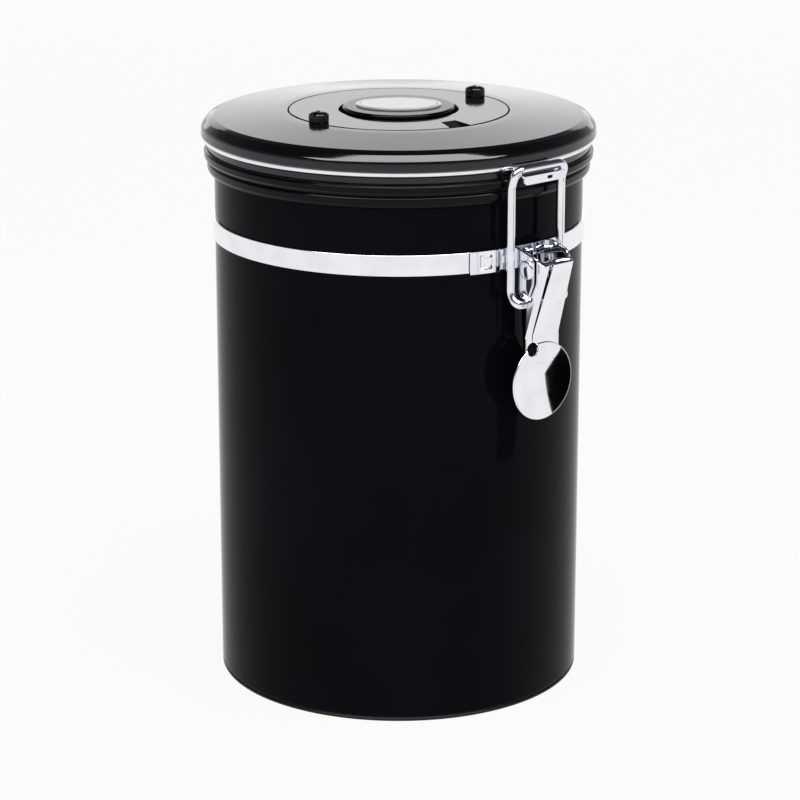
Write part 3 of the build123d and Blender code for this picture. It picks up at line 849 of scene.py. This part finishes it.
@dataclass
class Latch:
    """The bracket, its rivet, the lever with its thumb disc, and the wire bail."""

    sheet: float = 0.9
    half_width: float = 7.3
    front_top: tuple[float, float] = (-78.0, 156.3)  # y, z where the channel's web begins
    neck: tuple[float, float] = (-70.9, 131.5)
    toe_low: float = 122.0
    channel_bend: float = 0.8
    draw_in: float = 1.2 / 13.1  # how fast the channel narrows ahead of its neck
    disc_radius: float = 13.0
    disc_seat: tuple[float, float] = (-71.4, 116.0)
    dish: float = 0.8
    relief_hole: tuple[float, float, float] = (-4.5, 127.2, 2.3)  # x, z, radius
    pivot: tuple[float, float] = (-70.0, 142.6)
    bail_half: float = 10.9
    bail_wire: float = 1.45
    leg_span: tuple[float, float] = (145.6, 181.0)  # heights where the straight leg begins and ends
    lever: Extent = field(default_factory=lambda: Extent.of("latch_lever"))
    rivet: Extent = field(default_factory=lambda: Extent.of("latch_rivet"))
    bail: Extent = field(default_factory=lambda: Extent.of("bail_wire"))

    def build(self) -> None:
        """Build and dress the four pieces."""
        self.bracket()
        self.pin()
        self.handle()
        self.loop()

    def bracket(self) -> None:
        """Break the edges of the pressed bracket."""
        shape = from_node("latch_bracket", 0.16)
        publish("lever_bracket", shape, [CHROME], Part.CAN, "latch_bracket")

    def pin(self) -> None:
        """Set the rivet, with flat heads that fall away at their edges."""
        half = self.rivet.high.x
        head = (self.rivet.high.z - self.rivet.low.z) / 2
        seat = half - 0.8
        left = [
            (0, -half, 0),
            (1.8, -half + 0.04, 0),
            (2.6, -half + 0.18, 0.6),
            (head, -half + 0.5, 0.25),
            (head, -seat, 0.1),
            (1.6, -seat, 0),
        ]
        right = [(radius, -along, rounding) for radius, along, rounding in reversed(left)]
        shape = lathe([*left, *right], Turning.ACROSS, SMALL_LATHE_STEPS)
        bmesh.ops.translate(shape, verts=shape.verts, vec=self.rivet.middle)
        publish("lever_rivet", shape, [CHROME], Part.CAN, "latch_rivet")

    def side(self, across: float) -> list[Vector]:
        """The outline of the lever seen from the side.

        Args:
            across: The x of the plane that it lies in.

        Returns:
            Its rounded corners.
        """
        front_y, front_z = self.front_top
        neck_y, neck_z = self.neck
        outer = [
            (-68.4, 161.0),
            (front_y, front_z),
            (neck_y, neck_z),
            (neck_y, self.toe_low),
            (neck_y + self.sheet, self.toe_low),
            (neck_y + self.sheet, 127.0),
            (-67.4, 129.0),
            (-65.6, 132.5),
            (-65.3, 140.0),
            (-66.2, 149.0),
        ]
        roundings = [0.3, 0.4, 6.0, 0.2, 0.2, 2.0, 2.0, 4.0, 8.0, 3.0]
        return rounded([Vector((across, y, z)) for y, z in outer], roundings, True)

    def narrowed(self, channel: bmesh.types.BMesh) -> bmesh.types.BMesh:
        """Draw the channel's sides in from its neck towards its front.

        Args:
            channel: The folded channel, changed in place.

        Returns:
            The same shape.
        """
        everything = [*channel.verts, *channel.edges, *channel.faces]
        bmesh.ops.bisect_plane(channel, geom=everything, plane_co=(0, self.neck[0], 0), plane_no=(0, 1, 0))
        for vert in channel.verts:
            ahead = max(0.0, self.neck[0] - vert.co.y)
            vert.co.x -= math.copysign(ahead * self.draw_in, vert.co.x)
        return channel

    def handle(self) -> None:
        """Fold the lever's channel, dish its thumb disc and cut the slit that ends in the relief hole."""
        channel = plate(self.side(-self.half_width), Vector((2 * self.half_width, 0, 0)))
        long_corners = [
            e
            for e in channel.edges
            if abs(e.verts[0].co.x - e.verts[1].co.x) < WELD
            and all(v.co.y < self.neck[0] + 0.02 for v in e.verts)
            and all(v.co.z > self.toe_low + 1 for v in e.verts)
        ]
        bmesh.ops.bevel(
            channel,
            geom=long_corners,
            offset=self.channel_bend,
            segments=6,
            profile=0.5,
            affect="EDGES",
            material=-1,
            clamp_overlap=True,
        )
        slope = (self.front_top[0] - self.neck[0]) / (self.front_top[1] - self.neck[1])
        inward = self.sheet * math.sqrt(1 + slope**2)
        open_top = self.lever.high.z + 7
        root, back = 128.6, -60
        corners = [
            (self.neck[0] + inward + slope * (open_top - self.neck[1]), open_top),
            (self.neck[0] + inward, self.neck[1]),
            (self.neck[0] + inward, root),
            (back, root),
            (back, open_top),
        ]
        inner_half = self.half_width - self.sheet
        hollow = plate([Vector((-inner_half, y, z)) for y, z in corners], Vector((2 * inner_half, 0, 0)))
        shape = self.narrowed(joined(channel, hollow, Joinery.CUT))
        shape = joined(shape, self.disc(), Joinery.FUSE)
        shape = joined(shape, self.relief(), Joinery.CUT)
        radius = self.bail_wire + 0.05
        bore = lathe([(0, -9, 0), (radius, -9, 0), (radius, 9, 0), (0, 9, 0)], Turning.ACROSS, 32)
        bmesh.ops.translate(bore, verts=bore.verts, vec=(0, *self.pivot))
        shape = eased(joined(shape, bore, Joinery.CUT), 0.12)
        publish("thumb_lever", shape, [CHROME], Part.LEVER, "latch_lever")

    def disc(self) -> bmesh.types.BMesh:
        """The thumb disc: a dished sheet with a rolled rim, facing away from the can."""
        radius, dish, sheet = self.disc_radius, self.dish, self.sheet
        rings = 9
        hollow = [(radius * step / rings, dish * (1 - (step / rings) ** 2), 0) for step in range(rings)]
        front = [(r, -y, 0) for r, y, _ in hollow]
        back = [(r, -y - sheet, 0) for r, y, _ in reversed(hollow)]
        rim = [(radius - 0.05, -0.02, 0.28), (radius, -0.4, 0.28), (radius - 0.1, -sheet, 0.28)]
        shape = lathe([*front, *rim, *back], Turning.FACING, 128)
        bmesh.ops.translate(shape, verts=shape.verts, vec=(0, *self.disc_seat))
        return shape

    def relief(self) -> bmesh.types.BMesh:
        """The cutter for the relief hole and the tapered slit above it."""
        x, z, radius = self.relief_hole
        hole = lathe([(0, 55, 0), (radius, 55, 0), (radius, 85, 0), (0, 85, 0)], Turning.FACING, 48)
        bmesh.ops.translate(hole, verts=hole.verts, vec=(x, 0, z))
        top = self.front_top[1] + 1.2
        slit = [(x, z + 1.4), (-4.2, 134.0), (-2.1, top), (-3.9, top), (-4.8, 134.0)]
        wedge = plate([Vector((sx, -84, sz)) for sx, sz in slit], Vector((0, 15.5, 0)))
        return joined(hole, wedge, Joinery.FUSE)

    def loop(self) -> None:
        """Bend the bail and turn its ends in through the lever's flanges."""
        y, z = self.pivot
        leg_y, bar_y = -67.0, -69.0
        low, high = self.leg_span
        half = [
            Vector((5.8, y, z)),
            Vector((self.bail_half, y, z)),
            Vector((self.bail_half, leg_y, low)),
            Vector((self.bail_half, leg_y, high)),
            Vector((self.bail_half, bar_y, self.bail.high.z - self.bail_wire)),
        ]
        other = [Vector((-p.x, p.y, p.z)) for p in reversed(half)]
        bends = [0, 2.0, 4.5, 6.0, 3.2]
        shape = wire([*half, *other], bends + bends[::-1], self.bail_wire, 32)
        publish("bail_loop", shape, [CHROME_WIRE], Part.BAIL, "bail_wire")


# ---- the lid ------------------------------------------------------------------------------


@dataclass
class Lid:
    """The moulded lid with its underside, gasket, wire ring and catch."""

    cover_radius: float = 36.7
    floor: float = 192.1  # the seat of the cover over the valve
    shoulder: tuple[float, float] = (61.75, 193.7)
    shell: Extent = field(default_factory=lambda: Extent.of("lid_shell"))
    cover: Extent = field(default_factory=lambda: Extent.of("valve_cover"))
    pan: Extent = field(default_factory=lambda: Extent.of("lid_inner_pan"))
    gasket: Extent = field(default_factory=lambda: Extent.of("lid_gasket"))
    ring: Extent = field(default_factory=lambda: Extent.of("lid_wire_ring"))

    def build(self) -> None:
        """Build and dress the pieces of the lid's outside."""
        self.top()
        self.underside()
        self.seal()
        self.wire_ring()
        catch = from_node("catch_plate", 0.14)
        publish("bail_catch", catch, [CHROME], Part.LID, "catch_plate")
        hinge = from_node("hinge_bracket", 0.16)
        publish("rear_hinge", hinge, [CHROME], Part.CAN, "hinge_bracket")

    def top(self) -> None:
        """Mould the lid: a flat top that falls a little outwards, a soft shoulder and an undercut flank."""
        wide = self.shell.radius
        low = self.shell.low.z
        top = self.cover.high.z
        well = self.cover_radius + 1.3
        neck = 17.1
        under = self.floor - 1.8
        shoulder_r, shoulder_z = self.shoulder
        shape = lathe(
            [
                (neck, under, 0),
                (neck, self.floor, 0.2),
                (self.cover_radius + 0.45, self.floor, 0),
                (self.cover_radius + 0.45, top - 0.1, 0.35),
                (well + 4, top - 0.15, 0),
                (shoulder_r, shoulder_z, 1.2),
                (63.9, 193.0, 2.0),
                (wide - 0.25, 190.6, 2.4),
                (wide, 187.7, 0.25),
                (wide - 0.5, 187.6, 0.15),
                (wide - 1.0, 188.5, 0.3),
                (63.2, 188.5, 0.3),
                (63.2, 185.5, 0.3),
                (64.2, 185.3, 0.15),
                (64.2, low, 0.2),
                (63.6, low, 0),
                (63.6, 185.0, 0.2),
                (58.4, 185.0, 0),
                (58.4, 191.4, 0),
                (self.cover_radius + 3.2, 192.6, 0),
                (self.cover_radius + 3.2, under, 0.3),
            ]
        )
        publish("lid_moulding", shape, [GLOSS_ABS], Part.LID, "lid_shell")

    def underside(self) -> None:
        """Mould the lid's lower half, with the spigot that centres it in the mouth."""
        top, low = self.pan.high.z, self.pan.low.z
        outer = self.pan.radius
        web = top - 1.8
        spigot = 44.0
        shape = lathe(
            [
                (18.6, top, 0),
                (outer, top, 0),
                (outer, web, 0.3),
                (spigot + 1.8, web, 0.6),
                (spigot, low, 0.6),
                (spigot - 1.6, low, 0.5),
                (spigot - 1.6, web, 0.5),
                (18.6, web, 0.2),
            ]
        )
        publish("lid_underside", shape, [TEXTURED_ABS], Part.LID, "lid_inner_pan")

    def seal(self) -> None:
        """Cut the flat silicone gasket."""
        low, high = self.gasket.low.z, self.gasket.high.z
        outer = self.gasket.radius
        shape = lathe([(59.0, low, 0.5), (outer, low, 0.5), (outer, high, 0.3), (59.0, high, 0.3)])
        publish("mouth_gasket", shape, [SILICONE], Part.LID, "lid_gasket")

    def wire_ring(self) -> None:
        """Bend the ring round the lid and its two legs down to the rear hinge."""
        radius = 64.6
        thick = self.ring.high.x - radius
        height = self.ring.high.z - thick
        foot = self.ring.low.z + thick
        hinge_y = self.ring.high.y - thick
        end_x, leg_x = 12.2, 10.1
        end_y = math.sqrt(radius**2 - end_x**2)
        jog = (end_x - leg_x) * end_x / end_y
        leg = [
            Vector((3.0, hinge_y, foot)),
            Vector((leg_x, hinge_y, foot)),
            Vector((leg_x, hinge_y, height - 4.4)),
            Vector((leg_x, end_y + jog, height)),
        ]
        start = math.atan2(end_x, end_y)
        turns = 120
        sweep = (math.tau - 2 * start) / turns
        arc = [
            Vector((radius * math.sin(start + sweep * k), radius * math.cos(start + sweep * k), height))
            for k in range(turns + 1)
        ]
        other = [Vector((-p.x, p.y, p.z)) for p in reversed(leg)]
        bends = [0, 2.4, 2.6, 1.7]
        shape = wire([*leg, *arc, *other], [*bends, *[0] * len(arc), *reversed(bends)], thick, 24)
        publish("lid_ring", shape, [CHROME_WIRE], Part.LID, "lid_wire_ring")


@dataclass
class Valve:
    """The cover over the gas valve, its cap with the blank badge, the studs and what lies under them."""

    cover: Extent = field(default_factory=lambda: Extent.of("valve_cover"))
    cap: Extent = field(default_factory=lambda: Extent.of("valve_cap"))
    badge: Extent = field(default_factory=lambda: Extent.of("cap_badge"))
    well: float = 20.1
    badge_size: tuple[float, float] = (14.3, 10.4)
    badge_turn: float = -41.0
    key_line: tuple[float, float] = (1.1, 0.55)  # how far in the line starts, and its width
    slot_turn: float = 24.0

    def build(self) -> None:
        """Build and dress the pieces."""
        self.disc()
        self.button()
        self.plaque()
        self.stud("turn_stud_left", Part.STUD_LEFT)
        self.stud("turn_stud_right", Part.STUD_RIGHT)
        for node in ("valve_seat", "filter_retainer"):
            repaint(node, TEXTURED_ABS)
        repaint("valve_membrane", SILICONE)
        repaint("seat_o_ring", SILICONE)
        repaint("filter_disc", FELT)
        repaint("lid_screws", ZINC)

    def disc(self) -> None:
        """Mould the cover disc and scoop its pry notch."""
        low, high = self.cover.low.z, self.cover.high.z
        outer = self.cover.radius
        shape = lathe(
            [(self.well, low, 0), (outer, low, 0), (outer, high, 0.35), (self.well, high, 0.35)]
        )
        floor_near, floor_far = high - 0.1, high - 2.3
        notch = plate(
            [Vector(p) for p in ((-5.0, -27.0, 0), (-10.2, -38.5, 0), (-1.1, -38.7, 0), (0.6, -27.5, 0))],
            Vector((0, 0, 4)),
        )
        for vert in notch.verts:
            far = vert.co.y < -30
            vert.co.z = (floor_far if far else floor_near) if vert.co.z < 1 else high + 1
        shape = eased(joined(shape, notch, Joinery.CUT), 0.12, fold=50)
        publish("valve_disc", shape, [GLOSS_ABS], Part.LID, "valve_cover")

    def button(self) -> None:
        """Mould the cap that carries the badge."""
        low, high = self.cap.low.z, self.cap.high.z
        outer = self.cap.radius
        shape = lathe(
            [
                (0, high - 1.4, 0),
                (outer - 1.5, high - 1.4, 0.3),
                (outer - 1.5, low, 0),
                (outer, low, 0.2),
                (outer, high, 0.8),
                (0, high, 0),
            ]
        )
        publish("valve_button", shape, [COLLAR_ABS], Part.LID, "valve_cap")

    def plaque(self) -> None:
        """Make the oval badge: white, with a thin dark line inside its edge."""
        low, high = self.badge.low.z, self.badge.high.z
        long_half, short_half = self.badge_size
        start, width = self.key_line
        outer, inner = long_half - start, long_half - start - width
        thick = high - low
        shape = lathe(
            [
                (0, 0, 0),
                (long_half, 0, 0),
                (long_half, thick, 0.3),
                (outer, thick, 0),
                (inner, thick, 0),
                (0, thick, 0),
            ]
        )
        for face in shape.faces:
            middle = face.calc_center_median()
            on_line = inner < Vector((middle.x, middle.y)).length < outer and middle.z > thick / 2
            face.material_index = 1 if on_line else 0
        bmesh.ops.scale(shape, vec=(1, short_half / long_half, 1), verts=shape.verts)
        bmesh.ops.rotate(
            shape, verts=shape.verts, matrix=Matrix.Rotation(math.radians(self.badge_turn), 3, "Z")
        )
        bmesh.ops.translate(shape, verts=shape.verts, vec=(0, 0, low))
        publish("blank_badge", shape, [BADGE_WHITE, BADGE_LINE], Part.LID, "cap_badge")

    def stud(self, node: str, part: Part) -> None:
        """Turn a stud, saw its driver slot and put it in its hole.

        Args:
            node: The CAD node that it stands for.
            part: The body that it turns with.
        """
        extent = Extent.of(node)
        low, high = extent.low.z, extent.high.z
        seat = self.cover.high.z
        head = (extent.high.x - extent.low.x) / 2
        dome = high - 0.7
        shape = lathe(
            [
                (0, low, 0),
                (1.6, low, 0),
                (1.6, seat, 0),
                (head - 0.15, seat, 0.1),
                (head, seat + 0.3, 0.2),
                (head, dome, 0.8),
                (head * 0.55, high, 2.0),
                (0, high, 0),
            ],
            steps=SMALL_LATHE_STEPS,
        )
        saw = block(Vector((-head - 1, -0.5, high - 1.3)), Vector((head + 1, 0.5, high + 1)))
        bmesh.ops.rotate(saw, verts=saw.verts, matrix=Matrix.Rotation(math.radians(self.slot_turn), 3, "Z"))
        shape = eased(joined(shape, saw, Joinery.CUT), 0.1, fold=50)
        tab = block(Vector((-1.2, -3.3, low + 0.6)), Vector((1.2, 3.3, low + 2.1)))
        shape = gather([shape, eased(tab, 0.15)])
        bmesh.ops.translate(shape, verts=shape.verts, vec=(extent.middle.x, 0, 0))
        publish(f"slotted_{node}", shape, [STUD_NYLON], part, node)


# ---- the studio ---------------------------------------------------------------------------


@dataclass
class Studio:
    """A pale floor, soft light and the camera, in metres."""

    azimuth: float = 41.0  # degrees from the latch's side to the camera
    distance: float = 0.9731
    height: float = 0.38408
    pitch: float = 16.633
    lens: float = 132.69
    shift_x: float = 0.0017

    def toward(self, degrees: float, distance: float, height: float) -> Vector:
        """A place round the object.

        Args:
            degrees: The angle round from the camera, where right is positive.
            distance: How far it is from the can's axis.
            height: How high it is above the floor.

        Returns:
            The place.
        """
        angle = math.radians(degrees - self.azimuth)
        return Vector((distance * math.sin(angle), -distance * math.cos(angle), height))

    def build(self) -> None:
        """Set the stage."""
        self.floor()
        self.sky()
        self.softbox("back_screen", self.toward(180, 2.4, 0.75), (2.6, 0.9), 1.08)
        self.softbox("overhead", self.toward(20, 0.5, 1.6), (1.2, 1.2), 1.9).visible_glossy = False
        self.softbox("front_strip", self.toward(6, 0.66, 1.45), (2.7, 0.7), 9.0).visible_diffuse = False
        self.flag(
            "dark_flag",
            [
                self.toward(70.5, 0.33, 0),
                self.toward(58.3, 0.327, 0),
                self.toward(58.3, 0.327, 0.12),
                self.toward(66.5, 0.322, 0.12),
                self.toward(75.2, 0.316, 0.035),
            ],
        )
        self.camera()

    def floor(self) -> None:
        """Lay a pale sheet so evenly lit that only a breath of shadow is left on it."""
        shape = bmesh.new()
        bmesh.ops.create_circle(shape, cap_ends=True, radius=14.0, segments=96)
        mesh = bpy.data.meshes.new("floor")
        shape.to_mesh(mesh)
        shape.free()
        paper = bpy.data.materials.new("white_sweep")
        paper.use_nodes = True
        shader = paper.node_tree.nodes["Principled BSDF"]
        shader.inputs["Base Color"].default_value = linear("#656361")
        shader.inputs["Roughness"].default_value = 0.9
        shader.inputs["Specular IOR Level"].default_value = 0.0
        shader.inputs["Emission Color"].default_value = linear("#fcfbf9")
        shader.inputs["Emission Strength"].default_value = 0.955
        mesh.materials.append(paper)
        floor = bpy.data.objects.new("floor", mesh)
        bpy.context.scene.collection.objects.link(floor)

    def sky(self) -> None:
        """Surround the scene with a pale light that dims overhead."""
        world = bpy.data.worlds.new("studio")
        world.use_nodes = True
        tree = world.node_tree
        place = add_node(tree, "ShaderNodeTexCoord")
        split = add_node(tree, "ShaderNodeSeparateXYZ", {0: place.outputs["Generated"]})
        ramp = add_node(tree, "ShaderNodeValToRGB", {0: split.outputs["Z"]})
        ramp.color_ramp.elements[0].position = 0.0
        ramp.color_ramp.elements[0].color = linear("#f6f6f8")
        ramp.color_ramp.elements[1].position = 0.7
        ramp.color_ramp.elements[1].color = linear("#3c3c40")
        middle = ramp.color_ramp.elements.new(0.35)
        middle.color = linear("#6c6c72")
        back = tree.nodes["Background"]
        tree.links.new(ramp.outputs["Color"], back.inputs["Color"])
        back.inputs["Strength"].default_value = 0.9
        bpy.context.scene.world = world

    def softbox(
        self, name: str, place: Vector, size: tuple[float, float], radiance: float
    ) -> bpy.types.Object:
        """Hang a soft light that faces the object and that no camera sees.

        Args:
            name: Its name.
            place: Its centre.
            size: Its width and height.
            radiance: How bright its face is.

        Returns:
            The light.
        """
        light = bpy.data.lights.new(name, "AREA")
        light.shape = "RECTANGLE"
        light.size, light.size_y = size
        light.energy = radiance * math.pi * size[0] * size[1]
        lamp = bpy.data.objects.new(name, light)
        lamp.location = place
        aim = Vector((0, 0, 0.12)) - place
        lamp.rotation_euler = aim.to_track_quat("-Z", "Y").to_euler()
        lamp.visible_camera = False
        bpy.context.scene.collection.objects.link(lamp)
        return lamp

    def flag(self, name: str, corners: Sequence[Vector]) -> None:
        """Stand a black card that only the polished pieces see.

        Args:
            name: Its name.
            corners: Its outline.
        """
        shape = bmesh.new()
        shape.faces.new([shape.verts.new(corner) for corner in corners])
        mesh = bpy.data.meshes.new(name)
        shape.to_mesh(mesh)
        shape.free()
        velvet = bpy.data.materials.new("black_velvet")
        velvet.use_nodes = True
        shader = velvet.node_tree.nodes["Principled BSDF"]
        shader.inputs["Base Color"].default_value = linear("#08080a")
        shader.inputs["Roughness"].default_value = 0.95
        shader.inputs["Specular IOR Level"].default_value = 0.0
        mesh.materials.append(velvet)
        card = bpy.data.objects.new(name, mesh)
        bpy.context.scene.collection.objects.link(card)
        card.visible_camera = False
        card.visible_diffuse = False
        card.visible_shadow = False

    def camera(self) -> None:
        """Stand the camera, with everything in focus."""
        data = bpy.data.cameras.new("camera")
        data.lens = self.lens
        data.sensor_width = 36.0
        data.shift_x = self.shift_x
        data.clip_end = 60.0
        camera = bpy.data.objects.new("camera", data)
        camera.location = self.toward(0, self.distance, self.height)
        camera.rotation_euler = (
            math.radians(90 - self.pitch),
            0,
            math.radians(-self.azimuth),
        )
        bpy.context.scene.collection.objects.link(camera)
        bpy.context.scene.camera = camera
        bpy.context.scene.view_settings.view_transform = "Standard"


def main() -> None:
    """Build the canister in order and set the stage."""
    logging.basicConfig(level=logging.INFO, format="%(message)s")
    for assembly in (Can(), Strap(), Latch(), Lid(), Valve(), Studio()):
        assembly.build()
        log.info("%s is in place", type(assembly).__name__)


if __name__ == "__main__":
    main()
